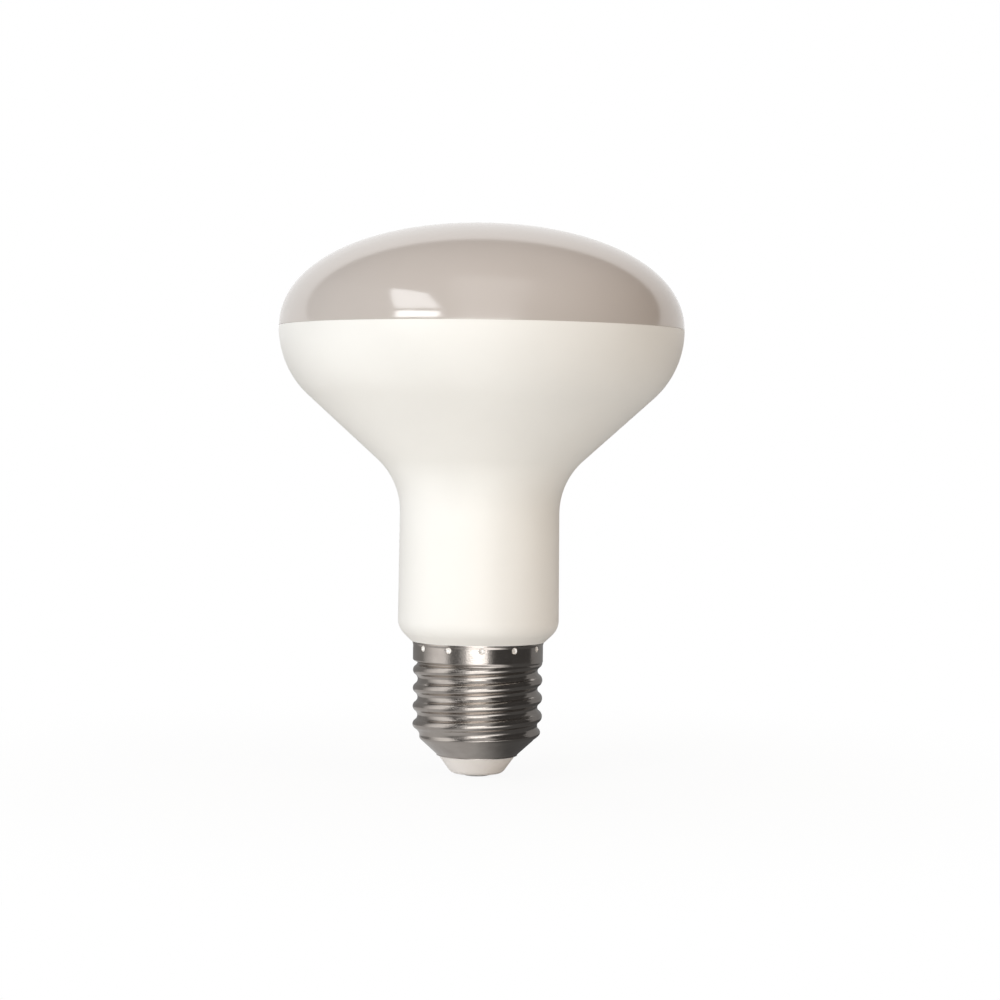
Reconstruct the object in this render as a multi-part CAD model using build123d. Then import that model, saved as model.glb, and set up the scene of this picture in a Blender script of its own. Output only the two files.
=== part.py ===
from build123d import *
import math
import os

os.makedirs("parts", exist_ok=True)

# Reflector lamp standing on its cap. Z runs up the axis of the lamp and the origin is
# on the face of the centre contact, so every height below is measured from that face.

# Head: the widest ring, where the diffuser closes the bowl of the housing
head_diameter = 80.8
seam_height = 89.4
overall_length = 110.2
rim_land = 0.25
seam_edge_round = 0.15
dome_rim_fullness = 0.57
dome_crown_fullness = 0.60
bowl_half_angle = 47.8
bowl_knuckle = 18.1

# Skirt of the diffuser, standing in a groove inside the mouth of the housing
mouth_wall = 1.5
skirt_thickness = 1.6
skirt_depth = 3.0
skirt_lead_in = 0.4
skirt_clearance = 0.1

# Neck: drafted tube that runs out into the bowl, with a bevelled and rounded foot
neck_draft = 0.4
neck_fillet = 14.1
foot_bevel = 2.75
foot_half_angle = 46
foot_round = 4.0
foot_seat_margin = 0.25

# Screw shell: thin drawn cap with a rolled 27 mm Edison thread
sheet = 0.3
sheet_bend = 0.15
thread_pitch = 3.629
thread_major = 26.1
thread_depth = 0.95
thread_crest_height = 15.6
thread_runout = thread_pitch / 4
thread_points_per_turn = 16
rim_height = 26.9
rim_flare = 0.2
rim_flare_drop = 0.7
rim_lip = 0.25
band_height = 3.6
band_relief = 0.15
band_half_angle = 45
band_land = 0.1
cone_half_angle = 48.2
cone_round = 1.0
cone_land = 0.1
hem_diameter = 16.0
hem_bottom = 4.03
hem_round = 0.2
hem_land = 0.05

# Crimps punched through the band into the spigot of the housing
crimp_count = 12
crimp_ball = 0.6
crimp_standoff = 0.3
crimp_below_rim = 0.95
crimp_first_angle = -86.5

# Spigot of the housing inside the shell, with a relief groove above its thread
spigot_clearance = 0.1
relief_depth = 0.2

# Insulator tip, moulded into the shell, and the nail pressed through it
tip_half_angle = 36
tip_round = 1.8
nail_head_diameter = 5.2
nail_head_thickness = 0.45
nail_head_round = 0.3
nail_shank_diameter = 2.2
nail_shank_chamfer = 0.3
nail_clearance = 0.02

head_radius = head_diameter / 2
hem_radius = hem_diameter / 2
nail_head_radius = nail_head_diameter / 2
nail_shank_radius = nail_shank_diameter / 2
thread_throw = thread_depth / 2
thread_mean_radius = thread_major / 2 - thread_throw
band_radius = thread_major / 2 - band_relief
rim_radius = band_radius + rim_flare
foot_seat_radius = rim_radius + foot_seat_margin
neck_foot_radius = foot_seat_radius + foot_bevel


def slope(half_angle):
    """Radius gained for each unit of height on a cone."""
    return math.tan(math.radians(half_angle))


def corner(round_radius, half_angle):
    """Straight length that a fillet takes up beside a corner of the given turn."""
    return round_radius * slope(half_angle / 2)


# Levels of the screw shell, from the hem at the tip up to the band under the rim
hem_corner = hem_bottom + hem_land + corner(hem_round, cone_half_angle)
cone_corner = hem_corner + (thread_mean_radius - hem_radius) / slope(cone_half_angle)
thread_start = cone_corner + corner(cone_round, cone_half_angle) + cone_land
band_bottom = rim_height - band_height
band_corner = band_bottom - (band_radius - thread_mean_radius) / slope(band_half_angle)
thread_end = band_corner - corner(sheet_bend, band_half_angle) - band_land


def turned(*outline):
    """Body of revolution from a closed outline, drawn as radius and height."""
    return revolve(Plane.XZ * make_face(outline), Axis.Z)


def filled(skin):
    """Body of revolution between an open skin line and the axis of the lamp."""
    foot = skin @ 0
    head = skin @ 1
    return turned(skin, Polyline(head, (0, head.Y), (0, foot.Y), foot))


def pressed(skin):
    """Ring of sheet metal that lies under an open skin line."""
    return turned(offset(skin, sheet, side=Side.LEFT))


def thread_centre(height):
    """Centre of the level section of the thread, a disc that circles the axis once a pitch."""
    fade = min((height - thread_start) / thread_runout, (thread_end - height) / thread_runout, 1)
    throw = thread_throw * fade * fade * (3 - 2 * fade)
    turn = math.tau * (height - thread_crest_height) / thread_pitch
    return (throw * math.cos(turn), throw * math.sin(turn), height)


thread_steps = round((thread_end - thread_start) / thread_pitch * thread_points_per_turn)
thread_rise = (thread_end - thread_start) / thread_steps
thread_path = Spline(
    *[thread_centre(thread_start + step * thread_rise) for step in range(thread_steps + 1)]
)


def threaded_rod(radius):
    """Rod with the round thread of the cap: outside of the shell, its inside, the spigot."""
    return sweep(Pos(0, 0, thread_start) * Circle(radius), path=thread_path, normal=(0, 0, 1))


def crimp_balls(radius):
    """Ring of balls on the centres of the punched crimps."""
    ring = PolarLocations(band_radius + crimp_standoff, crimp_count, crimp_first_angle)
    level = Pos(0, 0, rim_height - crimp_below_rim)
    return Part() + [level * place * Sphere(radius) for place in ring]


# Screw shell. The skin lines are the outside of the sheet below and above the thread.
cone_skin = FilletPolyline(
    (hem_radius, hem_bottom),
    (hem_radius, hem_corner),
    (thread_mean_radius, cone_corner),
    (thread_mean_radius, thread_start),
    radius=(hem_round, cone_round),
)
band_skin = FilletPolyline(
    (thread_mean_radius, thread_end),
    (thread_mean_radius, band_corner),
    (band_radius, band_bottom),
    (band_radius, rim_height - rim_flare_drop),
    (rim_radius, rim_height - rim_lip),
    (rim_radius, rim_height),
    radius=(sheet_bend, sheet_bend + sheet, sheet_bend, sheet_bend + sheet),
)
cone_ring = pressed(cone_skin)
thread_tube = threaded_rod(thread_mean_radius) - threaded_rod(thread_mean_radius - sheet)
shell_blank = cone_ring + thread_tube + pressed(band_skin)
inside_band = Pos(0, 0, rim_height / 2) * Cylinder(band_radius - sheet / 2, rim_height)
crimp_bumps = crimp_balls(crimp_ball + sheet) & inside_band
screw_shell = shell_blank + crimp_bumps - crimp_balls(crimp_ball)

# Cap insulator. Its back fills the cone of the shell and its tip tapers to the nail.
tip_radius = hem_radius - sheet
tip_face_radius = tip_radius - (hem_bottom - nail_head_thickness) * slope(tip_half_angle)
tip = turned(
    FilletPolyline(
        (0, nail_head_thickness),
        (tip_face_radius, nail_head_thickness),
        (tip_radius, hem_bottom),
        (0, hem_bottom),
        radius=(0, tip_round, 0, 0),
        close=True,
    )
)
nail_hole = Pos(0, 0, thread_start / 2) * Cylinder(nail_shank_radius + nail_clearance, thread_start)
cap_insulator = filled(cone_skin) - cone_ring + tip - nail_hole

# Centre contact: the nail, its head flat on the tip and its shank up through the insulator
nail_head = turned(
    FilletPolyline(
        (0, 0),
        (nail_head_radius, 0),
        (nail_head_radius, nail_head_thickness),
        (0, nail_head_thickness),
        radius=(0, nail_head_round, 0, 0),
        close=True,
    )
)
nail_shank = extrude(Circle(nail_shank_radius), thread_start)
nail_shank = chamfer(nail_shank.edges().sort_by(Axis.Z)[-1], nail_shank_chamfer)
centre_contact = nail_head + nail_shank

# Housing: bowl, neck and foot in one sweep of tangent lines and fillets
foot_corner = rim_height + (neck_foot_radius - foot_seat_radius) / slope(foot_half_angle)
knuckle_corner = seam_height - rim_land - corner(bowl_knuckle, bowl_half_angle)
throat_corner = (
    neck_foot_radius
    - head_radius
    + foot_corner * slope(neck_draft)
    + knuckle_corner * slope(bowl_half_angle)
) / (slope(neck_draft) + slope(bowl_half_angle))
throat_radius = neck_foot_radius - (throat_corner - foot_corner) * slope(neck_draft)
body = turned(
    FilletPolyline(
        (0, rim_height),
        (foot_seat_radius, rim_height),
        (neck_foot_radius, foot_corner),
        (throat_radius, throat_corner),
        (head_radius, knuckle_corner),
        (head_radius, seam_height),
        (0, seam_height),
        radius=(0, 0, foot_round, neck_fillet, bowl_knuckle, seam_edge_round, 0),
        close=True,
    )
)
spigot_inset = sheet + spigot_clearance
relief_radius = thread_mean_radius - spigot_inset - thread_throw - relief_depth
collar_radius = band_radius - spigot_inset
collar_bottom = band_bottom + corner(spigot_inset, band_half_angle)
collar = filled(
    Polyline(
        (relief_radius, thread_start),
        (relief_radius, collar_bottom - (collar_radius - relief_radius) / slope(band_half_angle)),
        (collar_radius, collar_bottom),
        (collar_radius, rim_height),
    )
)
crimp_pockets = crimp_balls(crimp_ball + sheet + spigot_clearance)
spigot = threaded_rod(thread_mean_radius - spigot_inset) + collar - crimp_pockets
groove_radius = head_radius - mouth_wall
groove_depth = skirt_depth + skirt_clearance
groove = Pos(0, 0, seam_height - groove_depth / 2) * (
    Cylinder(groove_radius, groove_depth)
    - Cylinder(groove_radius - skirt_thickness - 2 * skirt_clearance, groove_depth)
)
housing = body + spigot - groove

# Diffuser: full dome with its skirt in the groove
dome_height = overall_length - seam_height
crown_line = Bezier(
    (head_radius, seam_height),
    (head_radius, seam_height + dome_rim_fullness * dome_height),
    (dome_crown_fullness * head_radius, overall_length),
    (0, overall_length),
)
dome = turned(
    crown_line,
    Polyline((0, overall_length), (0, seam_height), (head_radius, seam_height)),
)
dome = fillet(dome.edges().group_by(Axis.Z)[0], seam_edge_round)
skirt_radius = groove_radius - skirt_clearance
skirt = Pos(0, 0, seam_height - skirt_depth / 2) * (
    Cylinder(skirt_radius, skirt_depth) - Cylinder(skirt_radius - skirt_thickness, skirt_depth)
)
skirt = chamfer(skirt.edges().group_by(Axis.Z)[0], skirt_lead_in)
diffuser = dome + skirt

export_step(diffuser, "parts/diffuser.step")
export_step(housing, "parts/housing.step")
export_step(screw_shell, "parts/screw_shell.step")
export_step(cap_insulator, "parts/cap_insulator.step")
export_step(centre_contact, "parts/centre_contact.step")
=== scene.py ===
import math

import bpy
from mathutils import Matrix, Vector


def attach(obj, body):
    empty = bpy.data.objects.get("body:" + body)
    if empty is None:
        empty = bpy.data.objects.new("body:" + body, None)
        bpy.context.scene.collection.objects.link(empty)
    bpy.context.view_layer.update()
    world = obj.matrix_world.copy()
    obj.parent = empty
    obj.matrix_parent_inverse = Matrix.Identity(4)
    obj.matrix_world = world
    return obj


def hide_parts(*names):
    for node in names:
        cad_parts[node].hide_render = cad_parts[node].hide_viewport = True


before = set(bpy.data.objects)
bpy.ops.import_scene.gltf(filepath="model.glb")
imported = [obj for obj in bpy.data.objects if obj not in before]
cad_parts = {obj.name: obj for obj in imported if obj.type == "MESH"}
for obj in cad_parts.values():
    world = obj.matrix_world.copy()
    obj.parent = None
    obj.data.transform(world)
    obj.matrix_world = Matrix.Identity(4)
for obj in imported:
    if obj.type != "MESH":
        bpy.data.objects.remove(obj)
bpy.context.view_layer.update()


# Centre contact: the nail pressed through the tip of the cap. Its turned head is plated
# steel that lies flat on the insulator and meets the spring of the lampholder.

mm = 0.001
noise_low = 0.3
noise_high = 0.7


def finish_of(name):
    """New material with its surface shader and the Object coordinates of what it covers."""
    finish = bpy.data.materials.new(name)
    finish.use_nodes = True
    nodes = finish.node_tree.nodes
    shader = nodes["Principled BSDF"]
    place = nodes.new("ShaderNodeTexCoord").outputs["Object"]
    return finish, shader, place


def mottle(finish, place, grain, detail=3.0):
    """Noise with lumps of the given size in metres."""
    noise = finish.node_tree.nodes.new("ShaderNodeTexNoise")
    noise.inputs["Scale"].default_value = 1 / grain
    noise.inputs["Detail"].default_value = detail
    finish.node_tree.links.new(place, noise.inputs["Vector"])
    return noise.outputs["Fac"]


def shade_between(finish, noise, dark, light):
    """Colour that runs from dark to light with the noise."""
    ramp = finish.node_tree.nodes.new("ShaderNodeValToRGB")
    ramp.color_ramp.elements[0].position = noise_low
    ramp.color_ramp.elements[1].position = noise_high
    ramp.color_ramp.elements[0].color = (*dark, 1)
    ramp.color_ramp.elements[1].color = (*light, 1)
    finish.node_tree.links.new(noise, ramp.inputs["Fac"])
    return ramp.outputs["Color"]


def range_between(finish, noise, low, high):
    """Number that runs from low to high with the noise."""
    span = finish.node_tree.nodes.new("ShaderNodeMapRange")
    span.inputs["From Min"].default_value = noise_low
    span.inputs["From Max"].default_value = noise_high
    span.inputs["To Min"].default_value = low
    span.inputs["To Max"].default_value = high
    finish.node_tree.links.new(noise, span.inputs["Value"])
    return span.outputs["Result"]


def relief(finish, height, depth, strength):
    """Surface relief of the given depth in metres."""
    bump = finish.node_tree.nodes.new("ShaderNodeBump")
    bump.inputs["Distance"].default_value = depth
    bump.inputs["Strength"].default_value = strength
    finish.node_tree.links.new(height, bump.inputs["Height"])
    return bump.outputs["Normal"]


def mottled_finish(name, lump, colours, roughness, grain, depth, strength):
    """New material with lumps of colour and gloss under a relief of fine grain."""
    finish, shader, place = finish_of(name)
    link = finish.node_tree.links.new
    lumps = mottle(finish, place, lump)
    link(shade_between(finish, lumps, *colours), shader.inputs["Base Color"])
    link(range_between(finish, lumps, *roughness), shader.inputs["Roughness"])
    bumps = relief(finish, mottle(finish, place, grain), depth, strength)
    link(bumps, shader.inputs["Normal"])
    return finish


plated_nail = mottled_finish(
    "plated_nail",
    lump=0.6 * mm,
    colours=((0.36, 0.35, 0.33), (0.50, 0.48, 0.46)),
    roughness=(0.28, 0.42),
    grain=0.15 * mm,
    depth=0.01 * mm,
    strength=0.3,
)
shader = plated_nail.node_tree.nodes["Principled BSDF"]
shader.inputs["Metallic"].default_value = 1
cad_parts["centre_contact"].material_slots[0].material = plated_nail


# Cap insulator: pale moulded plastic that fills the cone of the screw shell and tapers to
# the contact. It is moulded in place and keeps a satin skin with a fine grain.

hole_radius = 1.12 * mm
tip_bottom = 0.45 * mm
tip_face_radius = 5.1 * mm
tip_round = 1.8 * mm
tip_radius = 7.7 * mm
tip_top = 4.03 * mm
tip_land = 0.2 * mm
tip_edge_round = 0.05 * mm
back_radius = 11.1 * mm
back_bottom = 6.9 * mm
back_bevel = 0.7 * mm
back_top = 8.8 * mm
tip_sides = 128
weld_distance = 0.001 * mm
moulded_crease = math.radians(30)


def eased(corners, rounds):
    """Outline of (radius, height) points whose inner corners are arcs of a (radius, steps) each."""
    outline = [Vector(corners[0])]
    for before, at, after, (bend, steps) in zip(corners, corners[1:], corners[2:], rounds):
        at = Vector(at)
        inward = (Vector(before) - at).normalized()
        outward = (Vector(after) - at).normalized()
        turn = math.pi - inward.angle(outward)
        start = inward * bend * math.tan(turn / 2)
        end = outward * bend * math.tan(turn / 2)
        centre = (inward + outward).normalized() * bend / math.cos(turn / 2)
        # A ring beside each end of the arc keeps the shading of the flats next to it even.
        hold = bend * turn / steps
        outline.append(at + start + inward * min(hold, (at + start - outline[-1]).length / 2))
        for step in range(steps + 1):
            near = math.sin(turn - turn * step / steps)
            far = math.sin(turn * step / steps)
            spoke = ((start - centre) * near + (end - centre) * far) / math.sin(turn)
            outline.append(at + centre + spoke)
        outline.append(at + end + outward * min(hold, (Vector(after) - at - end).length / 3))
    outline.append(Vector(corners[-1]))
    return outline


def stack_rings(name, outline, sides, turn=0):
    """Tube from a circle that is extruded and resized along (radius, height) points."""
    bpy.ops.object.select_all(action="DESELECT")
    radius, height = outline[0]
    bpy.ops.mesh.primitive_circle_add(
        vertices=sides, radius=radius, location=(0, 0, height), rotation=(0, 0, turn)
    )
    piece = bpy.context.object
    piece.name = piece.data.name = name
    bpy.ops.object.transform_apply(location=True, rotation=True)
    bpy.ops.object.mode_set(mode="EDIT")
    bpy.ops.mesh.select_mode(type="EDGE")
    bpy.ops.mesh.select_all(action="SELECT")
    for (radius, height), (next_radius, next_height) in zip(outline, outline[1:]):
        step = (0, 0, next_height - height)
        growth = next_radius / radius
        bpy.ops.mesh.extrude_edges_move(TRANSFORM_OT_translate={"value": step})
        bpy.ops.transform.resize(value=(growth, growth, 1), center_override=(0, 0, next_height))
    return piece


def smooth_outwards(crease):
    """Turn the faces of the piece in edit mode outwards and shade it smooth up to a crease angle."""
    bpy.ops.mesh.select_all(action="SELECT")
    bpy.ops.mesh.normals_make_consistent(inside=False)
    bpy.ops.object.mode_set(mode="OBJECT")
    bpy.ops.object.shade_smooth_by_angle(angle=crease)


insulator_outline = eased(
    [
        (hole_radius, tip_bottom),
        (tip_face_radius, tip_bottom),
        (tip_radius, tip_top),
        (tip_radius, tip_top + tip_land),
    ],
    [(tip_round, 10), (tip_edge_round, 2)],
)
insulator_outline += [
    Vector((back_radius - back_bevel, back_bottom)),
    Vector((back_radius, back_bottom + back_bevel)),
    Vector((back_radius, back_top)),
    Vector((hole_radius, back_top)),
    Vector((hole_radius, tip_bottom)),
]
pale_tip = stack_rings("pale_tip", insulator_outline, tip_sides)
bpy.ops.mesh.select_all(action="SELECT")
bpy.ops.mesh.remove_doubles(threshold=weld_distance)
smooth_outwards(moulded_crease)

insulator_plastic = mottled_finish(
    "insulator_plastic",
    lump=2.5 * mm,
    colours=((0.93, 0.90, 0.87), (0.95, 0.92, 0.895)),
    roughness=(0.38, 0.46),
    grain=0.12 * mm,
    depth=0.006 * mm,
    strength=0.25,
)
pale_tip.data.materials.append(insulator_plastic)
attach(pale_tip, "root")
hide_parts("cap_insulator")


# Screw shell: a drawn sheet cap, nickel plated, with its thread rolled in between the cone
# and the plain band. Twelve crimps under the rim press the band into the housing.

sheet = 0.3 * mm
inner_bend = 0.15 * mm
outer_bend = 0.45 * mm
hem_radius = 8.1 * mm
hem_bottom = 4.08 * mm
hem_top = 4.26 * mm
cone_top = 8.26 * mm
cone_round = 4.5 * mm
thread_mean_radius = 12.50 * mm
thread_throw = 0.475 * mm
thread_pitch = 3.629 * mm
thread_start = 6.9 * mm
thread_end = 23.3 * mm
thread_crest_height = 15.6 * mm
thread_lead_in = 1.6 * mm
thread_runout = 0.85 * mm
thread_level = 0.12 * mm
band_corner = 22.65 * mm
band_bottom = 23.1 * mm
band_radius = 13.02 * mm
rim_radius = 13.15 * mm
rim_height = 26.9 * mm
flare_bottom = rim_height - 0.7 * mm
lip_bottom = rim_height - 0.25 * mm
shell_sides = 240
shell_crease = math.radians(40)
crimp_count = 12
crimp_first_angle = math.radians(-86.5)
crimp_level = rim_height - 1.05 * mm
crimp_reach = 0.6 * mm
crimp_patch = 1.2 * crimp_reach
crimp_depth = 0.32 * mm
crimp_cuts = 3


def thread_rise(level, angle):
    """Height of the rolled thread over its mean radius, in arcs that meet half way down."""
    fade = min((level - thread_start) / thread_lead_in, (thread_end - level) / thread_runout, 1)
    fade = max(fade, 0)
    quarter = thread_pitch / 4
    bend = (quarter**2 + thread_throw**2) / (2 * thread_throw)
    along = level - thread_crest_height - thread_pitch * angle / math.tau
    off_crest = abs((along + 2 * quarter) % thread_pitch - 2 * quarter)
    off_end = min(off_crest, 2 * quarter - off_crest)
    rise = thread_throw - bend + math.sqrt(bend**2 - off_end**2)
    return fade * fade * (3 - 2 * fade) * (rise if off_crest < quarter else -rise)


shell_outline = eased(
    [
        (hem_radius, hem_bottom),
        (hem_radius, hem_top),
        (thread_mean_radius, cone_top),
        (thread_mean_radius, cone_top + cone_round),
    ],
    [(inner_bend, 4), (cone_round, 24)],
)[:-1]
while shell_outline[-1].y < band_corner - 2 * thread_level:
    shell_outline.append(shell_outline[-1] + Vector((0, thread_level)))
shell_outline += eased(
    [
        (thread_mean_radius, band_corner - thread_level),
        (thread_mean_radius, band_corner),
        (band_radius, band_bottom),
        (band_radius, crimp_level - crimp_reach),
    ],
    [(inner_bend, 3), (outer_bend, 5)],
)
shell_outline += [Vector((band_radius, crimp_level - crimp_reach * step / 3)) for step in (2, 1)]
shell_outline += eased(
    [
        (band_radius, crimp_level),
        (band_radius, flare_bottom),
        (rim_radius, lip_bottom),
        (rim_radius, rim_height),
    ],
    [(inner_bend, 3), (outer_bend, 4)],
)
screw_cap = stack_rings("screw_cap", shell_outline, shell_sides, crimp_first_angle)
bpy.ops.object.mode_set(mode="OBJECT")
for vertex in screw_cap.data.vertices:
    outward = Vector((vertex.co.x, vertex.co.y, 0)).normalized()
    vertex.co += outward * thread_rise(vertex.co.z, math.atan2(outward.y, outward.x))
crimps = [
    Vector((math.cos(angle) * band_radius, math.sin(angle) * band_radius, crimp_level))
    for angle in (crimp_first_angle + math.tau * step / crimp_count for step in range(crimp_count))
]
for face in screw_cap.data.polygons:
    face.select = min((face.center - crimp).length for crimp in crimps) < crimp_patch
bpy.ops.object.mode_set(mode="EDIT")
bpy.ops.mesh.select_mode(type="FACE")
bpy.ops.mesh.subdivide(number_cuts=crimp_cuts, smoothness=1)
bpy.ops.mesh.select_mode(type="VERT")
for crimp in crimps:
    bpy.ops.mesh.select_all(action="DESELECT")
    bpy.ops.object.mode_set(mode="OBJECT")
    min(screw_cap.data.vertices, key=lambda vertex: (vertex.co - crimp).length).select = True
    bpy.ops.object.mode_set(mode="EDIT")
    bpy.ops.transform.translate(
        value=Vector((-crimp.x, -crimp.y, 0)).normalized() * crimp_depth,
        use_proportional_edit=True,
        proportional_edit_falloff="SPHERE",
        proportional_size=crimp_reach,
    )
bpy.ops.mesh.select_all(action="SELECT")
bpy.ops.mesh.remove_doubles(threshold=weld_distance)
bpy.ops.mesh.normals_make_consistent(inside=False)
bpy.ops.object.mode_set(mode="OBJECT")
bpy.ops.object.modifier_add(type="SOLIDIFY")
screw_cap.modifiers["Solidify"].thickness = sheet
screw_cap.modifiers["Solidify"].offset = -1
bpy.ops.object.modifier_apply(modifier="Solidify")
bpy.ops.object.shade_smooth_by_angle(angle=shell_crease)


def eased_step(tree, value, start, end, low=0.0, high=1.0):
    """Number that eases from low to high while the value goes from start to end."""
    step = tree.nodes.new("ShaderNodeMapRange")
    step.interpolation_type = "SMOOTHSTEP"
    for name, number in (("From Min", start), ("From Max", end), ("To Min", low), ("To Max", high)):
        step.inputs[name].default_value = number
    tree.links.new(value, step.inputs["Value"])
    return step.outputs["Result"]


def worked(tree, operation, *values):
    """Result of a sum on node sockets and plain numbers."""
    sum_node = tree.nodes.new("ShaderNodeMath")
    sum_node.operation = operation
    for socket, value in zip(sum_node.inputs, values):
        if isinstance(value, (int, float)):
            socket.default_value = value
        else:
            tree.links.new(value, socket)
    return sum_node.outputs[0]


# What is punched in below the band's face is duller than the plate and gets a pale painted highlight.
plate_colours = ((0.47, 0.425, 0.39), (0.55, 0.505, 0.465))
plate_roughness = (0.13, 0.20)
tarnish_lump = 3.0 * mm
plate_grain = 0.3 * mm
plate_grain_detail = 2.0
plate_relief_depth = 0.03 * mm
plate_relief_strength = 0.4
# painted highlight: the pale colour and the lost metal make the crimp dents look lit
painted_dent_highlight = (0.93, 0.91, 0.88, 1)
punched_depth = (band_radius - 0.03 * mm, band_radius - 0.08 * mm)
punched_foot = (crimp_level - crimp_patch, crimp_level - crimp_reach)
punched_roughness = 0.25
painted_highlight_metal_loss = 0.7

nickel_plate, shader, place = finish_of("nickel_plate")
tree = nickel_plate.node_tree
link = tree.links.new
tarnish = mottle(nickel_plate, place, tarnish_lump)
grain = mottle(nickel_plate, place, plate_grain, plate_grain_detail)
across = tree.nodes.new("ShaderNodeVectorMath")
across.operation = "MULTIPLY"
across.inputs[1].default_value = (1, 1, 0)
link(place, across.inputs[0])
from_axis = tree.nodes.new("ShaderNodeVectorMath")
from_axis.operation = "LENGTH"
link(across.outputs["Vector"], from_axis.inputs[0])
spot = tree.nodes.new("ShaderNodeSeparateXYZ")
link(place, spot.inputs[0])
punched_and_highlight = worked(
    tree,
    "MULTIPLY",
    eased_step(tree, from_axis.outputs["Value"], *punched_depth),
    eased_step(tree, spot.outputs["Z"], *punched_foot),
)
# the mask mixes the painted highlight colour into the crimp dents
tone = tree.nodes.new("ShaderNodeMix")
tone.data_type = "RGBA"
plate_input, painted_highlight_input, tone_output = tone.inputs[6], tone.inputs[7], tone.outputs[2]
link(punched_and_highlight, tone.inputs["Factor"])
link(shade_between(nickel_plate, tarnish, *plate_colours), plate_input)
painted_highlight_input.default_value = painted_dent_highlight
link(tone_output, shader.inputs["Base Color"])
rough = range_between(nickel_plate, grain, *plate_roughness)
link(worked(tree, "MULTIPLY_ADD", punched_and_highlight, punched_roughness, rough), shader.inputs["Roughness"])
bumps = relief(nickel_plate, grain, plate_relief_depth, plate_relief_strength)
link(bumps, shader.inputs["Normal"])
link(worked(tree, "MULTIPLY_ADD", punched_and_highlight, -painted_highlight_metal_loss, 1), shader.inputs["Metallic"])
screw_cap.data.materials.append(nickel_plate)
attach(screw_cap, "root")
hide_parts("screw_shell")


# Housing: one white moulding from the bevelled foot through the neck and the bowl to the
# mouth. A spigot under the foot stands in the screw shell, where the crimps hold it.

spigot_core = 11.5 * mm
spigot_bottom = 8.81 * mm
spigot_radius = 12.5 * mm
collar_bottom = band_bottom - 0.8 * mm
collar_full = band_bottom + 0.2 * mm
foot_seat_radius = 13.35 * mm
neck_foot_radius = 16.1 * mm
foot_corner = 29.5556 * mm
foot_round = 4.0 * mm
throat_radius = 15.8951 * mm
throat_corner = 58.9095 * mm
throat_round = 14.1 * mm
head_radius = 40.4 * mm
knuckle_corner = 81.1292 * mm
knuckle_round = 18.1 * mm
seam_height = 89.4 * mm
mouth_round = 0.06 * mm
groove_radius = 38.9 * mm
groove_width = 1.8 * mm
groove_floor = 86.3 * mm
body_sides = 256

housing_outline = [
    Vector((spigot_core, spigot_bottom)),
    Vector((spigot_core, collar_bottom)),
    Vector((spigot_radius, collar_full)),
    Vector((spigot_radius, rim_height)),
]
housing_outline += eased(
    [
        (foot_seat_radius, rim_height),
        (neck_foot_radius, foot_corner),
        (throat_radius, throat_corner),
        (head_radius, knuckle_corner),
        (head_radius, seam_height),
        (groove_radius, seam_height),
    ],
    [(foot_round, 14), (throat_round, 18), (knuckle_round, 20), (mouth_round, 3)],
)
housing_outline += [
    Vector((groove_radius, groove_floor)),
    Vector((groove_radius - groove_width, groove_floor)),
    Vector((groove_radius - groove_width, seam_height)),
]
white_body = stack_rings("white_body", housing_outline, body_sides)
bpy.ops.mesh.edge_face_add()
bpy.ops.mesh.select_all(action="DESELECT")
bpy.ops.mesh.select_non_manifold()
bpy.ops.mesh.edge_face_add()
smooth_outwards(moulded_crease)

white_plastic = mottled_finish(
    "white_plastic",
    lump=18 * mm,
    colours=((0.900, 0.895, 0.865), (0.920, 0.915, 0.885)),
    roughness=(0.40, 0.46),
    grain=0.25 * mm,
    depth=0.01 * mm,
    strength=0.2,
)
white_body.data.materials.append(white_plastic)
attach(white_body, "root")
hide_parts("housing")


# Diffuser: milky polycarbonate dome, moulded with a polished skin. Its skirt snaps into the
# groove inside the mouth of the housing, and its rim lies flush with the bowl.

overall_length = 110.2 * mm
dome_height = overall_length - seam_height
rim_fullness = 0.57
crown_fullness = 0.60
crown_steps = 72
first_crown_step = 2
rim_round = 0.06 * mm
rim_steps = 6
skirt_radius = 38.8 * mm
skirt_thickness = 1.6 * mm
skirt_inside = skirt_radius - skirt_thickness
skirt_bottom = 86.4 * mm
lead_in = 0.4 * mm


def crown_point(share):
    """Point of the crown line, from the rim at 0 to the top at 1."""
    left = 1 - share
    radius = head_radius * (left**3 + 3 * share * left**2 + 3 * share**2 * left * crown_fullness)
    lift = dome_height * (3 * share * left**2 * rim_fullness + 3 * share**2 * left + share**3)
    return radius, seam_height + lift


def rim_point(angle):
    """Point of the small round under the rim, from its foot at 0 to its side at a right angle."""
    radius = head_radius - rim_round * (1 - math.sin(angle))
    return radius, seam_height + rim_round * (1 - math.cos(angle))


dome_outline = [
    (skirt_inside, seam_height),
    (skirt_inside, skirt_bottom + lead_in),
    (skirt_inside + lead_in, skirt_bottom),
    (skirt_radius - lead_in, skirt_bottom),
    (skirt_radius, skirt_bottom + lead_in),
    (skirt_radius, seam_height),
]
dome_outline += [rim_point(math.radians(90 * step / rim_steps)) for step in range(rim_steps + 1)]
dome_outline += [crown_point(step / crown_steps) for step in range(first_crown_step, crown_steps)]
milky_dome = stack_rings("milky_dome", dome_outline, body_sides)
bpy.ops.mesh.merge(type="CENTER")
bpy.ops.transform.translate(value=(0, 0, overall_length - dome_outline[-1][1]))
bpy.ops.mesh.select_all(action="DESELECT")
bpy.ops.mesh.select_non_manifold()
bpy.ops.mesh.edge_face_add()
smooth_outwards(moulded_crease)

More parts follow.
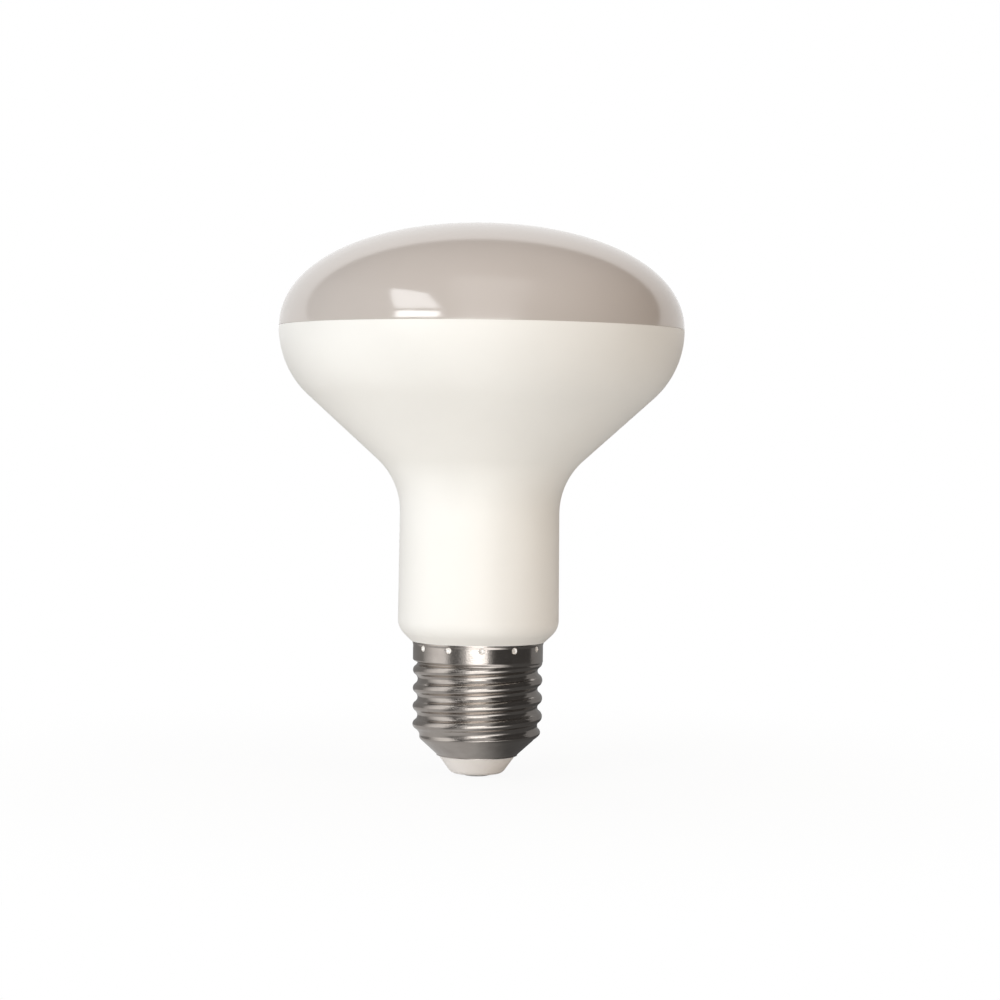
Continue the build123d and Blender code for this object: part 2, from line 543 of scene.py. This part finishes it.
milky_plastic = mottled_finish(
    "milky_plastic",
    lump=22 * mm,
    colours=((0.550, 0.505, 0.472), (0.570, 0.525, 0.492)),
    roughness=(0.11, 0.14),
    grain=5 * mm,
    depth=0.004 * mm,
    strength=0.2,
)
shader = milky_plastic.node_tree.nodes["Principled BSDF"]
shader.inputs["IOR"].default_value = 1.58
shader.inputs["Specular IOR Level"].default_value = 0.78
milky_dome.data.materials.append(milky_plastic)
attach(milky_dome, "root")
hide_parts("diffuser")


# Table: plain white to the camera, with a soft shadow under the cap. Only reflections see a painted
# glow on it: its left is lighter than its right, a bright runner in front and a dark gap beside it.

table_radius = 0.24
table_drop = 0.05 * mm
table_sides = 96
table_colour = (0.82, 0.81, 0.79, 1)
shadow_fade = (0.02, 0.16)
shadow_cover = (0.92, 1.0)
left_edge = (0.010, -0.004)
left_glow = (0.1, 0.55)
runner_side = (0.05, 0.012)
runner_start = (-0.015, -0.04)
runner_glow = 2.0
gap_left_edge = (math.radians(-60), math.radians(-42))
gap_right_edge = (math.radians(-10), math.radians(-24))
gap_start = (0.018, 0.03)
gap_loss = (0, 0.7)


def bearing_of(tree, spot):
    """Bearing of a spot round the lamp, counted from the camera side and negative at the left."""
    away = worked(tree, "MULTIPLY", spot.outputs["Y"], -1)
    return worked(tree, "ARCTAN2", spot.outputs["X"], away)


bpy.ops.object.select_all(action="DESELECT")
bpy.ops.mesh.primitive_circle_add(
    vertices=table_sides, radius=table_radius, fill_type="NGON", location=(0, 0, -table_drop)
)
table = bpy.context.object
table.name = "table"

pale_table = bpy.data.materials.new("pale_table")
pale_table.use_nodes = True
tree = pale_table.node_tree
link = tree.links.new
tree.nodes.remove(tree.nodes["Principled BSDF"])
place = tree.nodes.new("ShaderNodeTexCoord").outputs["Object"]
spot = tree.nodes.new("ShaderNodeSeparateXYZ")
link(place, spot.inputs[0])
length = tree.nodes.new("ShaderNodeVectorMath")
length.operation = "LENGTH"
link(place, length.inputs[0])
reach = length.outputs["Value"]
sight = tree.nodes.new("ShaderNodeLightPath")
by_camera = sight.outputs["Is Camera Ray"]
by_mirror = sight.outputs["Is Glossy Ray"]

left_half = eased_step(tree, spot.outputs["X"], *left_edge, *left_glow)
painted_runner = worked(
    tree,
    "MULTIPLY",
    eased_step(tree, worked(tree, "ABSOLUTE", spot.outputs["X"]), *runner_side),
    eased_step(tree, spot.outputs["Y"], *runner_start),
)
bearing = bearing_of(tree, spot)
painted_gap = worked(
    tree,
    "MULTIPLY",
    eased_step(tree, bearing, *gap_left_edge),
    eased_step(tree, bearing, *gap_right_edge),
)
painted_gap = worked(tree, "MULTIPLY", painted_gap, eased_step(tree, reach, *gap_start, *gap_loss))
# painted reflection: glow on the table that only reflections see
mirrored = worked(tree, "MAXIMUM", left_half, worked(tree, "MULTIPLY", painted_runner, runner_glow))
mirrored = worked(tree, "MULTIPLY", mirrored, worked(tree, "SUBTRACT", 1, painted_gap))
mirrored = worked(tree, "MULTIPLY", mirrored, by_mirror)
white = tree.nodes.new("ShaderNodeEmission")
link(worked(tree, "MAXIMUM", by_camera, mirrored), white.inputs["Strength"])
lit = tree.nodes.new("ShaderNodeBsdfDiffuse")
lit.inputs["Color"].default_value = table_colour
covered = worked(tree, "MULTIPLY", by_camera, eased_step(tree, reach, *shadow_fade, *shadow_cover))
blend = tree.nodes.new("ShaderNodeMixShader")
link(worked(tree, "MAXIMUM", covered, by_mirror), blend.inputs["Fac"])
link(lit.outputs[0], blend.inputs[1])
link(white.outputs[0], blend.inputs[2])
link(blend.outputs[0], tree.nodes["Material Output"].inputs["Surface"])
table.data.materials.append(pale_table)


# Screen: a low grey card that stands round the back of the cap, out of the camera's sight.
# Only reflections see it: it keeps the edges of the cap dark against the white backdrop.

screen_radius = 0.09
screen_height = 0.07
screen_bearings = (103, 257)
screen_glow = 0.27
card_sides = 120


def standing_card(name, radius, height, first, last):
    """Part of an upright tube round the cap, between two bearings from the camera side."""
    bpy.ops.object.select_all(action="DESELECT")
    bpy.ops.mesh.primitive_cylinder_add(
        vertices=card_sides,
        radius=radius,
        depth=height,
        end_fill_type="NOTHING",
        location=(0, 0, height / 2),
    )
    card = bpy.context.object
    card.name = card.data.name = name
    bpy.ops.object.mode_set(mode="EDIT")
    bpy.ops.mesh.select_mode(type="FACE")
    bpy.ops.mesh.select_all(action="DESELECT")
    bpy.ops.object.mode_set(mode="OBJECT")
    for face in card.data.polygons:
        bearing = math.degrees(math.atan2(face.center.x, -face.center.y)) % 360
        face.select = not first < bearing < last
    bpy.ops.object.mode_set(mode="EDIT")
    bpy.ops.mesh.delete(type="FACE")
    bpy.ops.object.mode_set(mode="OBJECT")
    card.visible_camera = card.visible_diffuse = card.visible_shadow = False
    return card


def card_tone(name):
    """New material that only glows, with its glow."""
    paint = bpy.data.materials.new(name)
    paint.use_nodes = True
    tree = paint.node_tree
    tree.nodes.remove(tree.nodes["Principled BSDF"])
    glow = tree.nodes.new("ShaderNodeEmission")
    tree.links.new(glow.outputs[0], tree.nodes["Material Output"].inputs["Surface"])
    return paint, glow


screen = standing_card("screen", screen_radius, screen_height, *screen_bearings)
grey_card, glow = card_tone("grey_card")
glow.inputs["Strength"].default_value = screen_glow
screen.data.materials.append(grey_card)


# Flag: a card between the window and the cap that only reflections see. It is white at the
# left and grey at its front edge, and the black between gives the thread its dark stripe.

flag_radius = 0.065
flag_height = 0.086
flag_bearings = (258, 341)
white_rise = (math.radians(-118), math.radians(-66))
white_glow = (0.1, 0.95)
white_fall = (math.radians(-40), math.radians(-58))
grey_rise = (math.radians(-32), math.radians(-20))
grey_glow = (0.1, 0.6)

flag = standing_card("flag", flag_radius, flag_height, *flag_bearings)
flag_card, glow = card_tone("flag_card")
tree = flag_card.node_tree
spot = tree.nodes.new("ShaderNodeSeparateXYZ")
tree.links.new(tree.nodes.new("ShaderNodeTexCoord").outputs["Object"], spot.inputs[0])
bearing = bearing_of(tree, spot)
white_part = worked(
    tree,
    "MULTIPLY",
    eased_step(tree, bearing, *white_rise, *white_glow),
    eased_step(tree, bearing, *white_fall),
)
grey_part = eased_step(tree, bearing, *grey_rise, *grey_glow)
tree.links.new(worked(tree, "ADD", white_part, grey_part), glow.inputs["Strength"])
flag.data.materials.append(flag_card)


# Lamps: a window at the left with its lower pane and a strip in front, which also show in
# reflections, and soft lamps from all sides that only light the surfaces.

lamp_aim = Vector((0, 0, 0.07))
window_turns = (("Z", -8.6), ("Y", -41.6), ("X", 47.8))


def softbox(name, azimuth, elevation, distance, size, power, tint=(1, 1, 1), mirrored=True):
    """Rectangular lamp that faces the middle of the object, by its bearing from the camera side."""
    lamp = bpy.data.lights.new(name, "AREA")
    lamp.shape = "RECTANGLE"
    lamp.size, lamp.size_y = size
    lamp.energy = power
    lamp.color = tint
    carrier = bpy.data.objects.new(name, lamp)
    bpy.context.scene.collection.objects.link(carrier)
    turn, rise = math.radians(azimuth), math.radians(elevation)
    level = math.cos(rise)
    toward = Vector((math.sin(turn) * level, -math.cos(turn) * level, math.sin(rise)))
    carrier.location = lamp_aim + toward * distance
    carrier.rotation_euler = toward.to_track_quat("Z", "Y").to_euler()
    carrier.visible_camera = False
    carrier.visible_glossy = mirrored
    return carrier


window = softbox(
    "window",
    azimuth=-41,
    elevation=35.8,
    distance=0.9,
    size=(0.48, 0.54),
    power=3.05,
    tint=(0.96, 0.98, 1.0),
)
for axis, turn in window_turns:
    window.rotation_euler.rotate_axis(axis, math.radians(turn))
softbox("lower_pane", azimuth=-35.3, elevation=9.5, distance=0.9, size=(0.395, 0.215), power=2.0)
softbox(
    "left_panel", azimuth=-84, elevation=-2, distance=0.8, size=(0.42, 0.40), power=0.56, mirrored=False
)
softbox("front_strip", azimuth=-2, elevation=-5, distance=0.8, size=(0.52, 0.17), power=0.6)
softbox(
    "low_lamp",
    azimuth=2,
    elevation=-8,
    distance=0.8,
    size=(0.40, 0.20),
    power=1.14,
    tint=(1.0, 1.0, 0.94),
    mirrored=False,
)
softbox(
    "left_fill", azimuth=-95, elevation=0, distance=0.8, size=(0.60, 0.60), power=0.35, mirrored=False
)
softbox(
    "right_fill",
    azimuth=53,
    elevation=32,
    distance=0.8,
    size=(0.60, 0.60),
    power=1.22,
    tint=(1.0, 0.72, 0.48),
    mirrored=False,
)
softbox(
    "back_fill", azimuth=-158, elevation=15, distance=0.8, size=(0.60, 0.60), power=2.0, mirrored=False
)


# World: white wherever the camera looks. Surfaces get a dim, warm room that is brighter
# overhead, and reflections see a white backdrop behind, a light front and a faint left wall.

room_tint = (1.0, 0.97, 0.95, 1)
room_glow = 0.06
overhead_edge = (0.45, 0.75)
overhead_glow = (0, 0.80)
backdrop_way = (-0.03, 1, -0.4)
backdrop_edge = (0.37, 0.46)
backdrop_foot = (-0.06, 0.04)
backdrop_foot_glow = (0.25, 1.0)
front_middle = 0.07
front_side = (0.42, 0.16)
front_start = (-0.1, -0.4)
front_height = (0, 0.5)
front_height_glow = (1, 0.6)
left_wall_edge = (-0.5, -0.8)
left_wall_glow = (0, 0.12)

room = bpy.data.worlds.new("room")
bpy.context.scene.world = room
room.use_nodes = True
tree = room.node_tree
link = tree.links.new
way = tree.nodes.new("ShaderNodeTexCoord").outputs["Generated"]
spot = tree.nodes.new("ShaderNodeSeparateXYZ")
link(way, spot.inputs[0])
sight = tree.nodes.new("ShaderNodeLightPath")
by_camera = sight.outputs["Is Camera Ray"]
by_mirror = sight.outputs["Is Glossy Ray"]

surround = tree.nodes.new("ShaderNodeBackground")
surround.inputs["Color"].default_value = room_tint
above = eased_step(tree, spot.outputs["Z"], *overhead_edge, *overhead_glow)
above = worked(tree, "MULTIPLY", worked(tree, "SUBTRACT", 1, by_mirror), above)
link(worked(tree, "ADD", above, room_glow), surround.inputs["Strength"])

toward_backdrop = tree.nodes.new("ShaderNodeVectorMath")
toward_backdrop.operation = "DOT_PRODUCT"
toward_backdrop.inputs[1].default_value = backdrop_way
link(way, toward_backdrop.inputs[0])
behind = worked(
    tree,
    "MULTIPLY",
    eased_step(tree, toward_backdrop.outputs["Value"], *backdrop_edge),
    eased_step(tree, spot.outputs["Z"], *backdrop_foot, *backdrop_foot_glow),
)
off_middle = worked(tree, "ABSOLUTE", worked(tree, "SUBTRACT", spot.outputs["X"], front_middle))
front = worked(
    tree,
    "MULTIPLY",
    eased_step(tree, off_middle, *front_side),
    eased_step(tree, spot.outputs["Z"], *front_height, *front_height_glow),
)
front = worked(tree, "MULTIPLY", front, eased_step(tree, spot.outputs["Y"], *front_start))
left_wall = eased_step(tree, spot.outputs["X"], *left_wall_edge, *left_wall_glow)
mirrored = worked(tree, "MAXIMUM", behind, worked(tree, "MAXIMUM", front, left_wall))
mirrored = worked(tree, "MULTIPLY", by_mirror, mirrored)
backdrop = tree.nodes["Background"]
backdrop.inputs["Color"].default_value = (1, 1, 1, 1)
choice = tree.nodes.new("ShaderNodeMixShader")
link(worked(tree, "MAXIMUM", by_camera, mirrored), choice.inputs["Fac"])
link(surround.outputs[0], choice.inputs[1])
link(backdrop.outputs[0], choice.inputs[2])
link(choice.outputs[0], tree.nodes["World Output"].inputs["Surface"])


# Camera: a long lens a little above the middle of the lamp, aimed slightly down and rolled
# by a small lean.

lens_length = 91.44
sensor_width = 36
eye_place = Vector((0, -0.508, 0.0676))
aim_point = Vector((0.00404, 0, 0.0552))
lean = math.radians(0.7)

eye = bpy.data.cameras.new("eye")
eye.lens = lens_length
eye.sensor_width = sensor_width
viewer = bpy.data.objects.new("viewer", eye)
bpy.context.scene.collection.objects.link(viewer)
viewer.location = eye_place
viewer.rotation_euler = (aim_point - eye_place).to_track_quat("-Z", "Y").to_euler()
viewer.rotation_euler.rotate_axis("Z", lean)
bpy.context.scene.camera = viewer
bpy.context.scene.view_settings.view_transform = "Standard"
